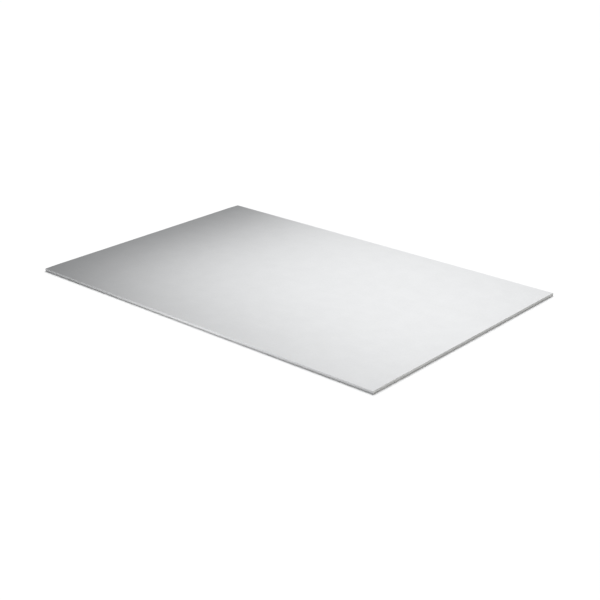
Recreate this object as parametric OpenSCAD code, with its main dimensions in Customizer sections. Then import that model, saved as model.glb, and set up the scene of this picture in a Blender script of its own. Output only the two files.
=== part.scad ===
// A sheet of drywall lying flat, finished face up, with its origin at the centre of its back face.
// The length runs along X and the width along Y. One section is carried from end to end:
// a flat back, a flat face that thins towards both long edges, and long edges with rounded corners.
// Both ends are cut off square. Sizes are in millimetres.

/* [Sheet] */
// Length of the sheet, from cut end to cut end
board_length = 1829; // [900:1:3660]
// Width of the sheet, from long edge to long edge
board_width = 1219; // [400:1:1372]
// Thickness of the sheet away from its long edges
board_thickness = 12.5; // [9:0.1:19]

/* [Long edges] */
// Width of the band beside each long edge where the face thins
taper_width = 60; // [30:1:90]
// How much thinner the sheet is at its long edges
taper_depth = 1.5; // [0.5:0.1:3]
// Radius of the corner between a long edge and the face
face_edge_radius = 1.6; // [0.5:0.1:2.5]
// Radius of the corner between a long edge and the back
back_edge_radius = 1; // [0.5:0.1:2.5]

/* [Hidden] */

// Number of flats that make up each rounded corner
ARC_FLATS = 8;

half_width = board_width / 2;
edge_thickness = board_thickness - taper_depth;
taper_angle = atan(taper_depth / taper_width);
// Height of the face corner's centre, where its arc meets the edge and the sloping face without a crease
face_corner_z = edge_thickness + face_edge_radius * (tan(taper_angle) - 1 / cos(taper_angle));

// Points along an arc, from one angle to another
function arc(centre, radius, from, to) =
    [for (i = [0:ARC_FLATS])
        let (a = from + (to - from) * i / ARC_FLATS)
        centre + radius * [cos(a), sin(a)]];

// The same points on the other side of the centre line, in reverse order
function mirrored(points) =
    [for (i = [len(points) - 1:-1:0]) [-points[i].x, points[i].y]];

// One half of the section, from the back corner up to where the taper begins
half_section = concat(
    arc([half_width - back_edge_radius, back_edge_radius], back_edge_radius, -90, 0),
    arc([half_width - face_edge_radius, face_corner_z], face_edge_radius, 0, 90 - taper_angle),
    [[half_width - taper_width, board_thickness]]
);

module section() {
    polygon(concat(half_section, mirrored(half_section)));
}

module drywall_sheet() {
    color("gainsboro")
        rotate([90, 0, 90])
            linear_extrude(height = board_length, center = true)
                section();
}

drywall_sheet();
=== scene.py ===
"""A sheet of drywall on a studio floor, finished face up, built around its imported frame.

The sheet is one closed mesh. Its section is carried from cut end to cut end, and at each cut end
the papers' cut edges stand a little proud of the rough plaster between them.
"""

import math

import bpy
import numpy as np
from bpy.props import FloatProperty, FloatVectorProperty, IntProperty, PointerProperty
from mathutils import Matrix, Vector


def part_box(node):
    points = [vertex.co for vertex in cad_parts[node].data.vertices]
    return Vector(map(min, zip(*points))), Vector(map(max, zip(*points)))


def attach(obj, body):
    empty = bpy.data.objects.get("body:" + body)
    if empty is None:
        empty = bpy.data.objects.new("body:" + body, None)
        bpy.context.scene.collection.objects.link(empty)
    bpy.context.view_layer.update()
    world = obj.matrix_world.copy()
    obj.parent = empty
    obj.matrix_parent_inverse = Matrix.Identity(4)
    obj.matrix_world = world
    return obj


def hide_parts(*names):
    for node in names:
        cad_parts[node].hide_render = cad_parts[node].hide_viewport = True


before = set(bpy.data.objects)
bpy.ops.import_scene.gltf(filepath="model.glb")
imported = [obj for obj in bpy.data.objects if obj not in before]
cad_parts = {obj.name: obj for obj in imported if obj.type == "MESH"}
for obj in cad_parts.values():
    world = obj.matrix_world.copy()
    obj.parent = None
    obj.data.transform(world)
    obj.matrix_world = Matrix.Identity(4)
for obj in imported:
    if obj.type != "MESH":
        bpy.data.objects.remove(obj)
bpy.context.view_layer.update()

bl_info = {
    "name": "Drywall sheet",
    "version": (1, 0, 0),
    "blender": (4, 5, 0),
    "location": "View3D > Sidebar > Drywall",
    "description": "Builds a paper-faced drywall sheet and a plain studio around it",
    "category": "Add Mesh",
}

NODE = "drywall_sheet"
PIECE = "paper_faced_sheet"
LOW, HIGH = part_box(NODE)
MM = 0.001

# The sheet's materials in order. Its faces name them by number.
FACE_PAPER, BACK_PAPER, CUT_PAPER, CORE = range(4)

# Sides of the mesh's cells over the face, over the back and across the cut ends.
FACE_CELL = 12 * MM
BACK_CELL = 40 * MM
END_CELL = 1.2 * MM
# Points round each corner of a long edge, and between its two corners.
CORNER_POINTS = 6
FLAT_POINTS = 4
# Where the mesh has rows over the turn into a taper, in taper blends from the turn's middle.
TURN_ROWS = (-2.5, -1.2, -0.4, 0.4, 1.2, 2.5)
# Creases sharper than this stay sharp.
CREASE = math.radians(35)

# The slow waves in the face: how many, and their counts to the metre along and across the sheet.
WAVES = 9
WAVES_ALONG = (0.3, 2.4)
WAVES_ACROSS = (-9, 9)
# How high each wave is beside the others.
WAVE_HEIGHTS = (0.4, 1.0)

# How far from the cut end the body's loops stop, and where the end's fine loops lie.
BODY_STOP = 8 * MM
END_LOOPS = (2.5 * MM, 0.8 * MM, 0.2 * MM)
# Width of the ramp down from the back paper's edge, and depth of the worn lip on the papers' cut edge.
FOLD_RAMP = 0.15 * MM
LIP = 0.1 * MM
# How far the papers' cut edge is frayed back, its middle and least value in frays, and its reach in points.
FRAY = 0.04 * MM
FRAY_MIDDLE, FRAY_LEAST, FRAY_REACH = 1.2, 0.1, 3
# The least that the plaster lies behind the cut, and the width of the denser plaster beside a long edge.
LEAST_RECESS = 0.25 * MM
DENSE_EDGE = 8 * MM
# The plaster's lumps, crumbs and pits: the reach of each in cells, and its share of the grain's depth.
LUMP_REACH, LUMP_SHARE = 5, 0.5
CRUMB_REACH, CRUMB_SHARE = 1.2, 0.5
PIT_REACH, PIT_SHARE = 0.45, 0.9

# The flat map has the name that the export looks for, and is a square of this many small squares
# a side. The face and the back each take a patch of it, given as left, foot, right and top.
MAP_NAME = "OFBake"
MAP_SIDE = 1024
FACE_PATCH = (4, 343, 1020, 1020)
BACK_PATCH = (4, 4, 499, 334)
# Beside the back are strips, one above the other: where they lie, the gap between them, and the
# height of one long edge, half a cut end, and the walls inside one cut end's papers.
STRIP_LEFT, STRIP_RIGHT, STRIP_FOOT, STRIP_GAP = 507, 1020, 4, 6
EDGE_STRIP, END_STRIP, WALL_STRIP = 20, 58, 5
# How much of a face's normal lies along X for the face to count as upright, and along Z as level.
UPRIGHT, LEVEL = 0.5, 0.7

# Half the side of the studio floor, and its colour.
FLOOR_REACH = 60.0
FLOOR_WHITE = (0.86, 0.86, 0.86)
# The light from all round is a little cool, and the camera sees white past the floor.
ROOM_COLOUR = (0.98, 0.99, 1.0, 1.0)
SEEN_COLOUR = (1.0, 1.0, 1.0, 1.0)
# Width of the camera's sensor, in millimetres.
CAMERA_SENSOR = 36.0
# The side light's aim, span and beam, and the fill light's place, span and beam.
SIDE_AIM, SIDE_SPAN, SIDE_BEAM = (0.7, -0.3, 0.0), 1.0, math.radians(120)
FILL_PLACE, FILL_SPAN, FILL_BEAM = (0.0, -2.2, 0.22), 0.4, math.radians(50)


# ---------------------------------------------------------------- sizes and colours


class SheetSizes(bpy.types.PropertyGroup):
    """Sizes of the sheet's section, its papers and its cut ends."""

    taper_width: FloatProperty(
        name="Taper width", description="Width of the band beside each long edge where the face thins",
        default=60 * MM, min=0, unit="LENGTH")
    taper_depth: FloatProperty(
        name="Taper depth", description="How much thinner the sheet is at its long edges",
        default=1.5 * MM, min=0, unit="LENGTH")
    taper_blend: FloatProperty(
        name="Taper blend", description="Half the width over which the level face turns into the taper",
        default=4 * MM, min=0, unit="LENGTH")
    face_corner: FloatProperty(
        name="Face corner", description="Radius of the corner between a long edge and the face",
        default=1.6 * MM, min=0, unit="LENGTH")
    back_corner: FloatProperty(
        name="Back corner", description="Radius of the corner between a long edge and the back",
        default=1.0 * MM, min=0, unit="LENGTH")
    face_paper: FloatProperty(
        name="Face paper", description="Thickness of the paper on the face and round the long edges",
        default=0.38 * MM, min=0, unit="LENGTH")
    back_paper: FloatProperty(
        name="Back paper", description="Thickness of the paper on the back",
        default=0.30 * MM, min=0, unit="LENGTH")
    fold_width: FloatProperty(
        name="Fold width", description="Width of folded face paper beside each long edge of the back",
        default=24 * MM, min=0, unit="LENGTH")
    fold_step: FloatProperty(
        name="Fold step", description="Step down from the back paper's edge to the folded face paper",
        default=0.2 * MM, min=0, unit="LENGTH")
    face_wave: FloatProperty(
        name="Face wave", description="Height of the slow waves in the face",
        default=0.12 * MM, min=0, unit="LENGTH")
    core_recess: FloatProperty(
        name="Core recess", description="How far the plaster lies behind the papers' cut edge at the ends",
        default=0.42 * MM, min=0, unit="LENGTH")
    core_grain: FloatProperty(
        name="Core grain", description="Depth of the grain in the cut plaster",
        default=0.25 * MM, min=0, unit="LENGTH")
    seed: IntProperty(name="Seed", description="Start of the random grain and waves", default=11, min=0)


class FinishColours(bpy.types.PropertyGroup):
    """Colours of the papers and the plaster."""

    face: FloatVectorProperty(
        name="Face paper", description="Colour of the finished face and the long edges",
        subtype="COLOR", default=(0.742, 0.747, 0.752), min=0, max=1)
    back: FloatVectorProperty(
        name="Back paper", description="Colour of the back",
        subtype="COLOR", default=(0.40, 0.36, 0.30), min=0, max=1)
    cut: FloatVectorProperty(
        name="Cut paper", description="Colour of the papers' cut edge at the ends",
        subtype="COLOR", default=(0.50, 0.48, 0.44), min=0, max=1)
    core: FloatVectorProperty(
        name="Plaster", description="Colour of the plaster between the papers",
        subtype="COLOR", default=(0.75, 0.75, 0.735), min=0, max=1)


class StudioSettings(bpy.types.PropertyGroup):
    """Where the camera stands and how the studio is lit."""

    azimuth: FloatProperty(
        name="Azimuth", description="Direction that the camera looks from, round the sheet",
        default=math.radians(41.6), subtype="ANGLE")
    elevation: FloatProperty(
        name="Elevation", description="How high the camera stands, as an angle above the floor",
        default=math.radians(21.3), subtype="ANGLE")
    distance: FloatProperty(
        name="Distance", description="From the camera to the middle of the sheet",
        default=5.15, min=0.1, unit="LENGTH")
    lens: FloatProperty(
        name="Lens", description="Focal length of the camera", default=72.0, min=1, unit="CAMERA")
    aim_forward: FloatProperty(
        name="Aim forward", description="How far in front of the sheet's middle the camera aims",
        default=0.21, unit="LENGTH")
    aim_aside: FloatProperty(
        name="Aim aside", description="How far to the right of the sheet's middle the camera aims",
        default=0.03, unit="LENGTH")
    key_place: FloatVectorProperty(
        name="Key place", description="Middle of the large soft light over the sheet",
        subtype="TRANSLATION", unit="LENGTH", default=(0.54, 0.47, 1.02))
    key_aim: FloatVectorProperty(
        name="Key aim", description="Place on the sheet that the large soft light looks at",
        subtype="TRANSLATION", unit="LENGTH", default=(0.85, 0.47, 0.0))
    key_width: FloatProperty(
        name="Key width", description="Width of the large soft light, across the sheet",
        default=2.06, min=0.01, unit="LENGTH")
    key_length: FloatProperty(
        name="Key length", description="Length of the large soft light, along the sheet",
        default=2.7, min=0.01, unit="LENGTH")
    key_beam: FloatProperty(
        name="Key beam", description="How wide the large soft light's beam opens",
        default=math.radians(128), subtype="ANGLE")
    key_power: FloatProperty(
        name="Key power", description="Power of the large soft light",
        default=15.8, min=0, unit="POWER")
    side_place: FloatVectorProperty(
        name="Side place", description="Middle of the second soft light, by the sheet's near right corner",
        subtype="TRANSLATION", unit="LENGTH", default=(1.03, -1.05, 1.0))
    side_power: FloatProperty(
        name="Side power", description="Power of the second soft light",
        default=2.85, min=0, unit="POWER")
    fill_power: FloatProperty(
        name="Fill power", description="Power of the small soft light before the near long edge",
        default=0.8, min=0, unit="POWER")
    room_light: FloatProperty(
        name="Room light", description="Strength of the light from all round", default=0.266, min=0)
    floor_light: FloatProperty(
        name="Floor light", description="Strength of the light that falls on the floor alone",
        default=4.4, min=0)
    floor_light_azimuth: FloatProperty(
        name="Floor light azimuth", description="Direction that the floor's light comes from",
        default=math.radians(215), subtype="ANGLE")
    floor_light_elevation: FloatProperty(
        name="Floor light elevation", description="How high the floor's light stands above the floor",
        default=math.radians(42), subtype="ANGLE")
    floor_light_angle: FloatProperty(
        name="Floor light angle", description="How wide the floor's light is, which softens the shadow",
        default=math.radians(40), subtype="ANGLE")


# ---------------------------------------------------------------- the section


def arc(centre, radius, start, end):
    """Points on an arc as (y, z) rows: centre + radius (cos a, sin a), with a going from start to end."""
    a = np.linspace(start, end, CORNER_POINTS)
    return np.stack([centre[0] + radius * np.cos(a), centre[1] + radius * np.sin(a)], 1)


class Section:
    """The sheet's section across its width: the heights of face and back, and the outline of the edges."""

    def __init__(self, sizes):
        self.sizes = sizes
        self.half = (HIGH.y - LOW.y) / 2
        self.thick = HIGH.z - LOW.z
        self.slope = math.atan2(sizes.taper_depth, sizes.taper_width)

    def face_z(self, y):
        """Height of the face: level, then a straight taper down to each long edge.

        With u the distance into the taper, the drop is (u + sqrt(u^2 + b^2)) / 2 times the slope,
        which turns softly from one to the other and lies just under both.
        """
        u = self.sizes.taper_width - (self.half - np.abs(y))
        drop = (u + np.sqrt(u**2 + self.sizes.taper_blend**2)) / 2
        return self.thick - drop * self.sizes.taper_depth / self.sizes.taper_width

    def on_fold(self, y):
        """True where the back shows the folded face paper and not the back paper."""
        return np.abs(y) > self.half - self.sizes.fold_width - FOLD_RAMP / 2

    def edge(self, inset):
        """The right long edge from the back up to the face as (y, z) rows: a corner, a flat and a corner.

        An inset draws the same line that far inside the outline, with the corners' centres unmoved.
        """
        back, face = self.sizes.back_corner, self.sizes.face_corner
        low_centre = (self.half - back, self.sizes.fold_step + back)
        tangent_y = self.half - face * (1 - math.sin(self.slope))
        high_centre = (self.half - face, float(self.face_z(tangent_y)) - face * math.cos(self.slope))
        low = arc(low_centre, back - inset, -math.pi / 2, 0)
        high = arc(high_centre, face - inset, 0, math.pi / 2 - self.slope)
        rise = np.linspace(low[-1], high[0], FLAT_POINTS + 2)[1:-1]
        return np.concatenate([low, rise, high])

    def loop(self, face_y, back_y, face_inset=0.0, back_inset=0.0):
        """The outline as a closed loop of (y, z) rows, from the foot of the left edge along the back.

        face_y and back_y are the places across the face and the back, between the two edges.
        """
        edge = self.edge(face_inset)
        back_z = np.where(self.on_fold(back_y), self.sizes.fold_step + face_inset, back_inset)
        back = np.stack([back_y, back_z], 1)
        face = np.stack([face_y, self.face_z(face_y) - face_inset], 1)[::-1]
        left = edge[::-1] * (-1, 1)
        return np.concatenate([left[-1:], back, edge, face, left[:-1]])

    def papers(self, loop):
        """The paper on each side of a loop: back paper between the two folds, face paper elsewhere."""
        middle = (loop + np.roll(loop, -1, 0)) / 2
        under = middle[:, 1] < self.thick / 2
        between = np.abs(middle[:, 0]) < self.half - self.sizes.fold_width
        return np.where(under & between, BACK_PAPER, FACE_PAPER)

    def sag(self, x, y):
        """How far the slow waves take the face down.

        They fade out over the taper, as 1 - (1 - t)^2 with t the share of the taper's width.
        """
        t = ((self.half - np.abs(y)) / self.sizes.taper_width).clip(0, 1)
        return self.sizes.face_wave * (1 - (1 - t) ** 2) * slow_waves(x, y, self.sizes.seed)

    def place(self, loop, x):
        """A loop's points in space at x, with the slow waves taken off the face."""
        y, z = loop.T
        x = np.broadcast_to(x, y.shape)
        return np.stack([x, y, LOW.z + z - self.sag(x, y) * (z > self.thick / 2)], -1)


def slow_waves(x, y, seed):
    """How far the face lies below level, from 0 to 1.

    It is (1 + the mean of waves sin(a x + b y + c), weighed by their heights) / 2.
    """
    draw = np.random.default_rng(seed)
    along = 2 * math.pi * draw.uniform(*WAVES_ALONG, WAVES)
    across = 2 * math.pi * draw.uniform(*WAVES_ACROSS, WAVES)
    start = draw.uniform(0, 2 * math.pi, WAVES)
    height = draw.uniform(*WAVE_HEIGHTS, WAVES)
    phase = np.multiply.outer(x, along) + np.multiply.outer(y, across) + start
    return (1 + np.sin(phase) @ height / height.sum()) / 2


def spread(low, high, step, marks):
    """Places from low to high about a step apart, with the marks among them.

    An even place within a third of a step of a mark is left out.
    """
    marks = np.asarray(marks)
    even = np.linspace(low, high, round((high - low) / step) + 1)
    clear = np.abs(even[:, None] - marks[None, :]).min(1) > step / 3
    return np.sort(np.concatenate([even[clear], marks]))


def grain(rows, columns, reach, draw):
    """Random heights on a grid, mostly from -1 to 1, each averaged with its neighbours.

    White noise has each frequency f weighed by exp(-2 (pi reach f)^2), which is a blur of reach
    cells, and is then scaled so that two standard deviations are 1.
    """
    noise = draw.standard_normal((rows, columns))
    along, across = np.fft.fftfreq(rows)[:, None], np.fft.rfftfreq(columns)[None, :]
    kept = np.exp(-2 * (math.pi * reach) ** 2 * (along**2 + across**2))
    smooth = np.fft.irfft2(np.fft.rfft2(noise) * kept, s=(rows, columns))
    return smooth / (2 * smooth.std())


# ---------------------------------------------------------------- the mesh


class Builder:
    """Gathers points and faces, each face with its material's number, and makes one mesh of them."""

    def __init__(self):
        self.points, self.faces, self.kinds, self.count = [], [], [], 0

    def add(self, points):
        """Adds an array of points and gives their numbers in the same layout."""
        numbers = np.arange(self.count, self.count + points[..., 0].size).reshape(points.shape[:-1])
        self.points.append(points.reshape(-1, 3))
        self.count += numbers.size
        return numbers

    def cover(self, corners, kind, flip=False):
        """Adds faces, one to a row of corner numbers, turned over if flip is true."""
        self.faces.append(corners[:, ::-1] if flip else corners)
        self.kinds.append(np.broadcast_to(kind, len(corners)))

    def fill(self, grid, kind, flip=False):
        """Covers a grid of points with quads."""
        quads = np.stack([grid[:-1, :-1], grid[:-1, 1:], grid[1:, 1:], grid[1:, :-1]], -1)
        self.cover(quads.reshape(-1, 4), np.broadcast_to(kind, quads.shape[:2]).ravel(), flip)

    def strip(self, behind, before, kind):
        """Joins two closed loops of equal length by quads."""
        closed = np.stack([np.append(behind, behind[0]), np.append(before, before[0])])
        self.fill(closed, kind)

    def stitch(self, few, many, few_at, many_at, few_kind, many_kind, flip):
        """Joins a loop of few points to a loop of many by triangles.

        few_at and many_at say how far round its loop each point is, from 0 to 1. Each side of the
        longer loop goes to the nearest point of the shorter one, and each side of the shorter one
        goes to the point of the longer one where that nearest point changes.
        """
        n, m = len(few), len(many)
        middles = (many_at + np.append(many_at[1:], 1)) / 2
        halfway = (few_at + np.append(few_at[1:], 1)) / 2
        owner = np.searchsorted(halfway, middles)
        around = np.arange(m)
        self.cover(np.stack([many, many[(around + 1) % m], few[owner % n]], -1), many_kind, flip)
        turn = np.searchsorted(owner, np.arange(n), side="right")
        self.cover(np.stack([many[turn % m], np.roll(few, -1), few], -1), few_kind, flip)

    def mesh(self, name):
        """Writes everything into one new mesh with smooth faces and sharp creases."""
        sizes = np.concatenate([np.full(len(f), f.shape[1]) for f in self.faces])
        corners = np.concatenate([f.ravel() for f in self.faces])
        made = bpy.data.meshes.new(name)
        made.vertices.add(self.count)
        made.vertices.foreach_set("co", np.concatenate(self.points).astype(np.float32).ravel())
        made.loops.add(len(corners))
        made.loops.foreach_set("vertex_index", corners.astype(np.int32))
        made.polygons.add(len(sizes))
        made.polygons.foreach_set("loop_start", (np.cumsum(sizes) - sizes).astype(np.int32))
        made.polygons.foreach_set("material_index", np.concatenate(self.kinds).astype(np.int32))
        made.update(calc_edges=True)
        if made.validate():
            raise RuntimeError(f"{name} has broken faces")
        made.shade_smooth()
        made.set_sharp_from_angle(angle=CREASE)
        return made


def way_round(loop):
    """How far round a closed loop each of its points is, from 0 to 1."""
    sides = np.linalg.norm(np.roll(loop, -1, 0) - loop, axis=1)
    return (np.cumsum(sides) - sides) / sides.sum()


def cut_core(section, inner, columns, side, draw):
    """The rough plaster at one cut end, as a grid of points with rows up the thickness and columns across.

    A point lies a share of the way from the inner loop's back up to its face, and takes the same
    share of the face's waves. The rows are evenly shared out, but close to a long edge they turn
    into that edge's own heights, and the grain fades. A point lies behind the cut by the recess plus
    lumps, crumbs and small pits, which are grain squared where it is positive.
    """
    rows = 2 * CORNER_POINTS + FLAT_POINTS
    right = inner[columns + 1:columns + 1 + rows]
    left = right * (-1, 1)
    back = inner[1:columns + 1]
    face = inner[columns + 1 + rows:2 * columns + 1 + rows][::-1]
    across = np.concatenate([left[:1, 0], back[:, 0], right[:1, 0]])
    near = (1 - (back[-1, 0] - np.abs(across)) / DENSE_EDGE).clip(0, 1)
    even = np.linspace(0, 1, rows)[:, None]
    edge = ((right[:, 1] - right[0, 1]) / (right[-1, 1] - right[0, 1]))[:, None]
    share = even + near * (edge - even)
    between = back + share[:, 1:-1, None] * (face - back)
    y, z = np.moveaxis(np.concatenate([left[:, None], between, right[:, None]], 1), -1, 0)
    pits = PIT_SHARE * grain(*y.shape, PIT_REACH, draw).clip(0) ** 2
    lumps = LUMP_SHARE * grain(*y.shape, LUMP_REACH, draw)
    crumbs = CRUMB_SHARE * grain(*y.shape, CRUMB_REACH, draw)
    rough = section.sizes.core_grain * (lumps + crumbs + pits) * (1 - near)
    x = side * (HIGH.x - (section.sizes.core_recess + rough).clip(LEAST_RECESS))
    return np.stack([x, y, LOW.z + z - share * section.sag(x, y)], -1)


def sheet_mesh(sizes):
    """The whole sheet as one closed mesh.

    The body is the section's loop at even stations along X. At each end it is stitched to a loop of
    many more points, and loops of that length step in round the papers' cut edge to the plaster.
    """
    section, build = Section(sizes), Builder()
    reach = section.half - 2 * sizes.face_corner
    fold = section.half - sizes.fold_width
    fold_marks = (-fold, FOLD_RAMP - fold, fold - FOLD_RAMP, fold)
    turn = section.half - sizes.taper_width
    turn_marks = [side * (turn + sizes.taper_blend * row) for side in (-1, 1) for row in TURN_ROWS]

    body_loop = section.loop(spread(-reach, reach, FACE_CELL, turn_marks),
                             spread(-reach, reach, BACK_CELL, fold_marks))
    body_papers = section.papers(body_loop)
    stop = HIGH.x - BODY_STOP
    stations = np.linspace(-stop, stop, round(2 * stop / FACE_CELL) + 1)
    body = build.add(np.stack([section.place(body_loop, x) for x in stations]))
    build.fill(np.concatenate([body, body[:, :1]], 1), body_papers)

    end_y = spread(-reach, reach, END_CELL, fold_marks)
    outline = section.loop(end_y, end_y)
    lip = section.loop(end_y, end_y, LIP, LIP)
    inner = section.loop(end_y, end_y, sizes.face_paper, sizes.back_paper)
    papers = section.papers(outline)
    for side in (-1, 1):
        draw = np.random.default_rng(sizes.seed + side)
        fray = FRAY * (FRAY_MIDDLE + grain(1, len(lip), FRAY_REACH, draw)[0]).clip(FRAY_LEAST)
        grid = build.add(cut_core(section, inner, len(end_y), side, draw))
        loops = [build.add(section.place(outline, side * (HIGH.x - d))) for d in END_LOOPS]
        loops.append(build.add(section.place(lip, side * (HIGH.x - fray))))
        loops.append(build.add(section.place(inner, side * (HIGH.x - 2 * fray))))
        loops.append(np.concatenate([grid[0, :-1], grid[:-1, -1], grid[-1, :0:-1], grid[:0:-1, 0]]))
        for outer, inward, kind in zip(loops, loops[1:], (papers, papers, papers, CUT_PAPER, CUT_PAPER)):
            build.strip(*((outer, inward) if side > 0 else (inward, outer)), kind)
        build.stitch(body[-1 if side > 0 else 0], loops[0], way_round(body_loop), way_round(outline),
                     body_papers, papers, flip=side > 0)
        build.fill(grid, CORE, flip=side < 0)
    return build.mesh(PIECE)


def read(items, name, width=1, kind=np.float32):
    """One value or row of values of each item, as an array."""
    values = np.empty(len(items) * width, kind)
    items.foreach_get(name, values)
    return values.reshape(-1, width) if width > 1 else values


def flat_map(mesh):
    """Lays the sheet's faces out flat in a square, for finishes that are painted on.

    The finished face takes the top two thirds at full width, and the back lies below it at half that
    size. Beside the back are strips: the two long edges, then each cut end in two, drawn out in
    thickness so that its papers show, and last the inner walls of the papers' cut edges. Within a
    patch a point's place is its share of the way from one side of the sheet to the other.
    """
    normal, middle = read(mesh.polygons, "normal", 3), read(mesh.polygons, "center", 3)
    finish = read(mesh.polygons, "material_index", kind=np.int32)
    upright = np.abs(normal[:, 0]) > UPRIGHT
    wall = ~upright & (finish == CUT_PAPER)
    end = ~wall & (upright | (finish == CORE))
    level = ~wall & ~end & (np.abs(normal[:, 2]) > LEVEL)
    edge = ~wall & ~end & ~level

    # Each patch has its faces, the axis and span that it shows across and upwards, and its rectangle.
    patches = [(level & (normal[:, 2] > 0), (0, LOW.x, HIGH.x), (1, LOW.y, HIGH.y), FACE_PATCH),
               (level & (normal[:, 2] < 0), (0, LOW.x, HIGH.x), (1, HIGH.y, LOW.y), BACK_PATCH)]
    strips = []
    for side in (-1, 1):
        strips.append((edge & (side * normal[:, 1] > 0), (0, side * HIGH.x, -side * HIGH.x),
                       (2, LOW.z, HIGH.z), EDGE_STRIP))
    for side in (-1, 1):
        for half, span in ((-1, (LOW.y, 0.0)), (1, (0.0, HIGH.y))):
            strips.append((end & (side * middle[:, 0] > 0) & (half * middle[:, 1] >= 0),
                           (1, *span[::side]), (2, LOW.z, HIGH.z), END_STRIP))
    for side in (-1, 1):
        strips.append((wall & (side * middle[:, 0] > 0), (1, LOW.y, HIGH.y),
                       (0, side * (HIGH.x - MM), side * HIGH.x), WALL_STRIP))
    foot = STRIP_FOOT
    for *strip, height in strips:
        patches.append((*strip, (STRIP_LEFT, foot, STRIP_RIGHT, foot + height)))
        foot += height + STRIP_GAP

    point = read(mesh.vertices, "co", 3)[read(mesh.loops, "vertex_index", kind=np.int32)]
    corners = read(mesh.polygons, "loop_total", kind=np.int32)
    uv = np.zeros((len(point), 2), np.float32)
    for faces, across, up, (left, low, right, high) in patches:
        own = np.repeat(faces, corners)
        for column, (axis, start, stop), first, last in ((0, across, left, right), (1, up, low, high)):
            share = (point[own, axis] - start) / (stop - start)
            uv[own, column] = (first + share * (last - first)) / MAP_SIDE
    mesh.uv_layers.new(name=MAP_NAME).data.foreach_set("uv", uv.ravel())


# ---------------------------------------------------------------- finishes


def node(tree, kind, inputs=None, **settings):
    """Adds a shader node. Each input is a plain value, or another node's output, which is linked."""
    made = tree.nodes.new("ShaderNode" + kind)
    for key, value in settings.items():
        setattr(made, key, value)
    for key, value in (inputs or {}).items():
        if isinstance(value, bpy.types.NodeSocket):
            tree.links.new(value, made.inputs[key])
        else:
            made.inputs[key].default_value = value
    return made


class Finish:
    """One material in the making. Its patterns read the place on the sheet, and scales are to the metre."""

    def __init__(self, name, specular):
        self.material = bpy.data.materials.new(name)
        self.material.use_nodes = True
        self.tree = self.material.node_tree
        self.shader = self.tree.nodes["Principled BSDF"]
        self.shader.inputs["Specular IOR Level"].default_value = specular
        self.place = node(self.tree, "TexCoord").outputs["Object"]

    def stretched(self, stretch, place=None):
        """A place with each axis multiplied, so that a pattern read there is drawn out."""
        made = node(self.tree, "Mapping", {"Vector": place or self.place, "Scale": stretch})
        return made.outputs["Vector"]

    def turned(self, angle, place=None):
        """A place turned about the upright axis."""
        made = node(self.tree, "Mapping", {"Vector": place or self.place, "Rotation": (0, 0, angle)})
        return made.outputs["Vector"]

    def ragged(self, scale, reach):
        """The place pushed about by clouds, so that round shapes read there come out ragged."""
        clouds = node(self.tree, "TexNoise", {"Vector": self.place, "Scale": scale, "Detail": 2.0})
        push = node(self.tree, "VectorMath", {0: clouds.outputs["Color"], "Scale": reach}, operation="SCALE")
        return node(self.tree, "VectorMath", {0: self.place, 1: push.outputs["Vector"]}).outputs["Vector"]

    def noise(self, scale, detail=3.0, rough=0.55, place=None):
        """A cloudy pattern from 0 to 1."""
        made = node(self.tree, "TexNoise", {"Vector": place or self.place, "Scale": scale,
                                            "Detail": detail, "Roughness": rough})
        return made.outputs["Fac"]

    def specks(self, scale, size, place):
        """1 on small dots, 0 elsewhere: a Voronoi pattern close to its cells' centres.

        Each dot's radius is size times the square of its cell's own random number, in cells.
        """
        cells = node(self.tree, "TexVoronoi", {"Vector": place, "Scale": scale})
        own = node(self.tree, "TexWhiteNoise", {"Vector": cells.outputs["Color"]}).outputs["Value"]
        radius = self.times(own, own, size)
        inside = self.math("SUBTRACT", radius, cells.outputs["Distance"])
        made = node(self.tree, "MapRange", {"Value": inside, "From Min": 0.0, "From Max": size / 2,
                                            "To Min": 0.0, "To Max": 1.0})
        return made.outputs["Result"]

    def math(self, operation, first, second):
        """Two values put together by one Math node."""
        return node(self.tree, "Math", {0: first, 1: second}, operation=operation).outputs["Value"]

    def times(self, *values):
        """Multiplies values together."""
        total = values[0]
        for value in values[1:]:
            total = self.math("MULTIPLY", total, value)
        return total

    def plus(self, *values):
        """Adds values together."""
        total = values[0]
        for value in values[1:]:
            total = self.math("ADD", total, value)
        return total

    def between(self, pattern, low, high):
        """Carries a pattern that runs from about 0.3 to 0.7 over to the range low to high."""
        made = node(self.tree, "MapRange", {"Value": pattern, "From Min": 0.3, "From Max": 0.7,
                                            "To Min": low, "To Max": high})
        return made.outputs["Result"]

    def paint(self, colour, *shades, specks=()):
        """Colours the surface: a colour times each shade, and times 1 plus each speck's strength.

        A shade is a pattern and the range that it is carried over to. A speck is a pattern and its strength.
        """
        shade = self.times(*(self.between(*each) for each in shades))
        if specks:
            shade = self.times(shade, self.plus(1.0, *(self.times(*each) for each in specks)))
        made = node(self.tree, "VectorMath", {0: (*colour,), "Scale": shade}, operation="SCALE")
        self.tree.links.new(made.outputs["Vector"], self.shader.inputs["Base Color"])

    def roughen(self, pattern, low, high):
        """Lets the roughness follow a pattern over the range low to high."""
        self.tree.links.new(self.between(pattern, low, high), self.shader.inputs["Roughness"])

    def emboss(self, height, depth):
        """Raises the surface by a height from 0 to 1 times a depth in metres."""
        made = node(self.tree, "Bump", {"Height": height, "Distance": depth, "Strength": 1.0})
        self.tree.links.new(made.outputs["Normal"], self.shader.inputs["Normal"])


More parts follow.
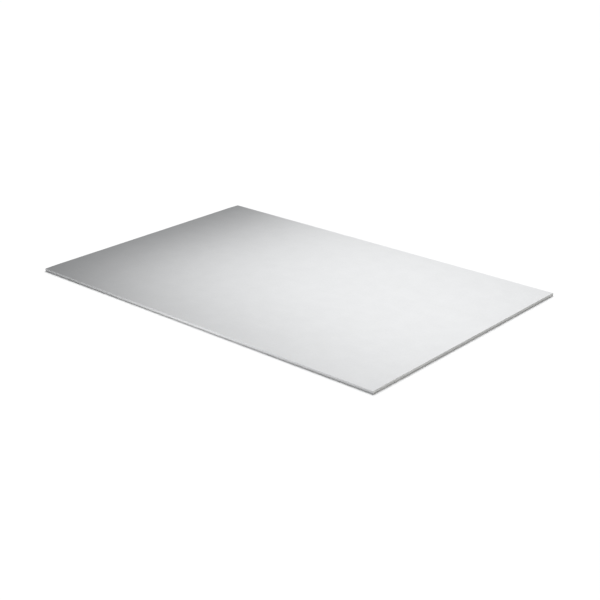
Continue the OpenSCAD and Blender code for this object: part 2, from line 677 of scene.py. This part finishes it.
def face_paper_finish(colours):
    """Smooth pale paper: faint clouds, fainter streaks along the sheet, fine fibres and a few grey specks."""
    paper = Finish("face_paper", specular=0.35)
    clouds = paper.noise(14.0)
    mottle = paper.noise(95.0)
    streaks = paper.noise(1.0, detail=4.0, place=paper.stretched((0.5, 30.0, 30.0)))
    fibres = paper.noise(1300.0, detail=2.0, place=paper.stretched((0.45, 1.0, 1.0)))
    dots = paper.specks(210.0, 0.09, paper.stretched((0.6, 1.0, 1.0)))
    dashes = paper.specks(160.0, 0.06, paper.turned(0.9, paper.stretched((1.0, 0.5, 1.0))))
    paper.paint(colours.face, (clouds, 0.986, 1.012), (mottle, 0.988, 1.010), (streaks, 0.996, 1.003),
                (fibres, 0.972, 1.022), specks=[(paper.plus(dots, dashes), -0.16)])
    paper.roughen(mottle, 0.60, 0.66)
    paper.emboss(paper.plus(fibres, paper.times(mottle, 0.8)), 0.035 * MM)
    return paper.material


def back_paper_finish(colours):
    """Coarser grey-brown paper, with long fibres lying three ways and darker and lighter specks."""
    paper = Finish("back_paper", specular=0.25)
    clouds = paper.noise(26.0, detail=5.0)
    mottle = paper.noise(150.0)
    drawn_out = (0.22, 1.0, 1.0)
    along = paper.noise(900.0, rough=0.65, place=paper.stretched(drawn_out))
    aslant = paper.noise(700.0, rough=0.65, place=paper.stretched(drawn_out, paper.turned(1.0)))
    across = paper.noise(800.0, rough=0.65, place=paper.stretched(drawn_out, paper.turned(-0.9)))
    dark = paper.specks(330.0, 0.22, paper.stretched((0.5, 1.0, 1.0)))
    pale = paper.specks(260.0, 0.20, paper.stretched((0.4, 1.0, 1.0), paper.turned(0.7)))
    paper.paint(colours.back, (clouds, 0.95, 1.04), (mottle, 0.96, 1.03), (along, 0.94, 1.05),
                (aslant, 0.95, 1.05), (across, 0.95, 1.05), specks=[(dark, -0.28), (pale, 0.22)])
    paper.roughen(clouds, 0.80, 0.90)
    paper.emboss(paper.plus(along, aslant, across), 0.05 * MM)
    return paper.material


def cut_paper_finish(colours):
    """The papers' cut edge: grey plies of fibre, furry and quite matt."""
    paper = Finish("cut_paper", specular=0.2)
    plies = paper.noise(1500.0, detail=2.0, place=paper.stretched((1.0, 0.15, 6.0)))
    worn = paper.noise(160.0)
    paper.paint(colours.cut, (plies, 0.85, 1.12), (worn, 0.90, 1.10))
    paper.roughen(plies, 0.88, 0.97)
    paper.emboss(plies, 0.08 * MM)
    return paper.material


def core_finish(colours):
    """Chalky plaster: powdery patches, crumbs, fine crystals, faint drag lines and ragged air holes, darkened
    with painted shade.
    """
    plaster = Finish("plaster_core", specular=0.2)
    patches = plaster.noise(70.0, detail=5.0, rough=0.6)
    crumbs = plaster.noise(650.0, detail=4.0, rough=0.65)
    crystals = plaster.noise(2600.0, detail=2.0)
    drag = plaster.noise(800.0, detail=2.0, place=plaster.stretched((1.0, 1.0, 0.08)))
    loose = plaster.ragged(1600.0, 0.7 * MM)
    # The air holes are sunk by the bump, and their colour is also darkened: that darkening is painted shade
    # in the pits.
    holes_with_painted_shade = plaster.math("MAXIMUM", plaster.specks(520.0, 0.27, loose), plaster.specks(1500.0, 0.46, loose))
    plaster.paint(colours.core, (patches, 0.93, 1.05), (crumbs, 0.95, 1.04), (crystals, 0.95, 1.04),
                  (drag, 0.98, 1.02), specks=[(holes_with_painted_shade, -0.27)])
    plaster.roughen(crystals, 0.90, 1.0)
    plaster.emboss(plaster.plus(crumbs, plaster.times(crystals, 0.4), plaster.times(holes_with_painted_shade, -2.0)), 0.16 * MM)
    return plaster.material


def floor_finish():
    """Plain white studio floor, quite matt."""
    floor = Finish("studio_floor", specular=0.0)
    floor.paint(FLOOR_WHITE, (floor.noise(3.0, detail=2.0), 0.99, 1.0))
    floor.shader.inputs["Roughness"].default_value = 0.9
    return floor.material


# ---------------------------------------------------------------- the studio


def direction(azimuth, elevation):
    """Unit vector from the sheet towards an azimuth, 0 at -Y and 90 degrees at +X, and an elevation."""
    level = math.cos(elevation)
    return Vector((math.sin(azimuth) * level, -math.cos(azimuth) * level, math.sin(elevation)))


def add_object(name, data):
    """Links a new object holding that data into the scene."""
    made = bpy.data.objects.new(name, data)
    bpy.context.scene.collection.objects.link(made)
    return made


def point_at(thing, place, target):
    """Stands a light or camera at a place, looking at a target."""
    thing.location = place
    thing.rotation_euler = (target - place).to_track_quat("-Z", "Y").to_euler()


def add_camera(studio):
    """A camera that looks at the sheet from the studio's azimuth and elevation."""
    data = bpy.data.cameras.new("camera")
    data.lens = studio.lens
    data.sensor_width = CAMERA_SENSOR
    middle = (LOW + HIGH) / 2
    forward = direction(studio.azimuth, 0.0)
    aside = Vector((math.cos(studio.azimuth), math.sin(studio.azimuth), 0.0))
    camera = add_object("camera", data)
    point_at(camera, middle + studio.distance * direction(studio.azimuth, studio.elevation),
             middle + studio.aim_forward * forward + studio.aim_aside * aside)
    return camera


def add_floor():
    """A wide level floor at the height of the sheet's back."""
    reach = FLOOR_REACH
    mesh = bpy.data.meshes.new("studio_floor")
    corners = [(-reach, -reach, LOW.z), (reach, -reach, LOW.z), (reach, reach, LOW.z), (-reach, reach, LOW.z)]
    mesh.from_pydata(corners, [], [(0, 1, 2, 3)])
    mesh.materials.append(floor_finish())
    floor = add_object("studio_floor", mesh)
    return floor


def soft_light(name, place, target, width, length, beam, power):
    """An oblong soft light, unseen by the camera. A narrow beam falls on less, as through a grid."""
    lamp = bpy.data.lights.new(name, "AREA")
    lamp.shape = "RECTANGLE"
    lamp.size, lamp.size_y = width, length
    lamp.spread = beam
    lamp.energy = power
    made = add_object(name, lamp)
    made.visible_camera = False
    point_at(made, Vector(place), Vector(target))
    return made


def distant_light(name, azimuth, elevation, angle, strength):
    """A light that comes from one direction, as wide as the angle."""
    lamp = bpy.data.lights.new(name, "SUN")
    lamp.angle = angle
    lamp.energy = strength
    made = add_object(name, lamp)
    point_at(made, direction(azimuth, elevation), Vector())
    return made


def light_only(lamp, thing):
    """Lets a lamp light one thing and nothing else."""
    lit = bpy.data.collections.new(f"{lamp.name}_lights")
    lit.objects.link(thing)
    lamp.light_linking.receiver_collection = lit


def light_room(strength):
    """Soft light from all round, with a white surround where the camera sees past the floor."""
    world = bpy.data.worlds.new("studio_room")
    bpy.context.scene.world = world
    world.use_nodes = True
    tree = world.node_tree
    tree.nodes.clear()
    lit = node(tree, "Background", {"Color": ROOM_COLOUR, "Strength": strength})
    seen = node(tree, "Background", {"Color": SEEN_COLOUR, "Strength": 1.0})
    path = node(tree, "LightPath")
    mixed = node(tree, "MixShader", {0: path.outputs["Is Camera Ray"], 1: lit.outputs[0], 2: seen.outputs[0]})
    node(tree, "OutputWorld", {"Surface": mixed.outputs[0]})


# ---------------------------------------------------------------- operators


class DRYWALL_OT_stage(bpy.types.Operator):
    """Lays the floor, hangs the lights and sets up the camera"""

    bl_idname = "drywall.stage"
    bl_label = "Make the studio"

    def execute(self, context):
        scene = context.scene
        studio = scene.drywall_studio
        sheet = scene.objects[PIECE]
        scene.camera = add_camera(studio)
        scene.view_settings.view_transform = "Standard"
        floor = add_floor()
        light_room(studio.room_light)
        key = soft_light("key_light", studio.key_place, studio.key_aim, studio.key_width,
                         studio.key_length, studio.key_beam, studio.key_power)
        side = soft_light("side_light", studio.side_place, SIDE_AIM, SIDE_SPAN, SIDE_SPAN,
                          SIDE_BEAM, studio.side_power)
        fill = soft_light("fill_light", FILL_PLACE, (0.0, LOW.y, 0.0), FILL_SPAN, FILL_SPAN,
                          FILL_BEAM, studio.fill_power)
        for lamp in (key, side, fill):
            light_only(lamp, sheet)
        sun = distant_light("floor_light", studio.floor_light_azimuth, studio.floor_light_elevation,
                            studio.floor_light_angle, studio.floor_light)
        light_only(sun, floor)
        return {"FINISHED"}


class DRYWALL_OT_sheet(bpy.types.Operator):
    """Builds the sheet in place of its plain solid"""

    bl_idname = "drywall.sheet"
    bl_label = "Make the sheet"

    def execute(self, context):
        scene = context.scene
        mesh = sheet_mesh(scene.drywall_sizes)
        flat_map(mesh)
        for finish in (face_paper_finish, back_paper_finish, cut_paper_finish, core_finish):
            mesh.materials.append(finish(scene.drywall_colours))
        sheet = add_object(PIECE, mesh)
        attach(sheet, "root")
        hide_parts(NODE)
        return {"FINISHED"}


class DRYWALL_PT_panel(bpy.types.Panel):
    """Lists the sheet's sizes, colours and studio with a button for each thing to make"""

    bl_label = "Drywall sheet"
    bl_space_type = "VIEW_3D"
    bl_region_type = "UI"
    bl_category = "Drywall"

    def draw(self, context):
        scene = context.scene
        for operator, settings in (("drywall.sheet", [scene.drywall_sizes, scene.drywall_colours]),
                                   ("drywall.stage", [scene.drywall_studio])):
            self.layout.operator(operator)
            for group in settings:
                for name in group.__annotations__:
                    self.layout.prop(group, name)


CLASSES = (SheetSizes, FinishColours, StudioSettings, DRYWALL_OT_stage, DRYWALL_OT_sheet, DRYWALL_PT_panel)
SETTINGS = {"drywall_sizes": SheetSizes, "drywall_colours": FinishColours, "drywall_studio": StudioSettings}


def register():
    """Registers the classes and gives the scene its settings."""
    for each in CLASSES:
        bpy.utils.register_class(each)
    for name, group in SETTINGS.items():
        setattr(bpy.types.Scene, name, PointerProperty(type=group))


def unregister():
    """Takes away what register adds."""
    for name in SETTINGS:
        delattr(bpy.types.Scene, name)
    for each in reversed(CLASSES):
        bpy.utils.unregister_class(each)


def main():
    """Makes the sheet and then the studio."""
    register()
    bpy.ops.drywall.sheet()
    bpy.ops.drywall.stage()


if __name__ == "__main__":
    main()
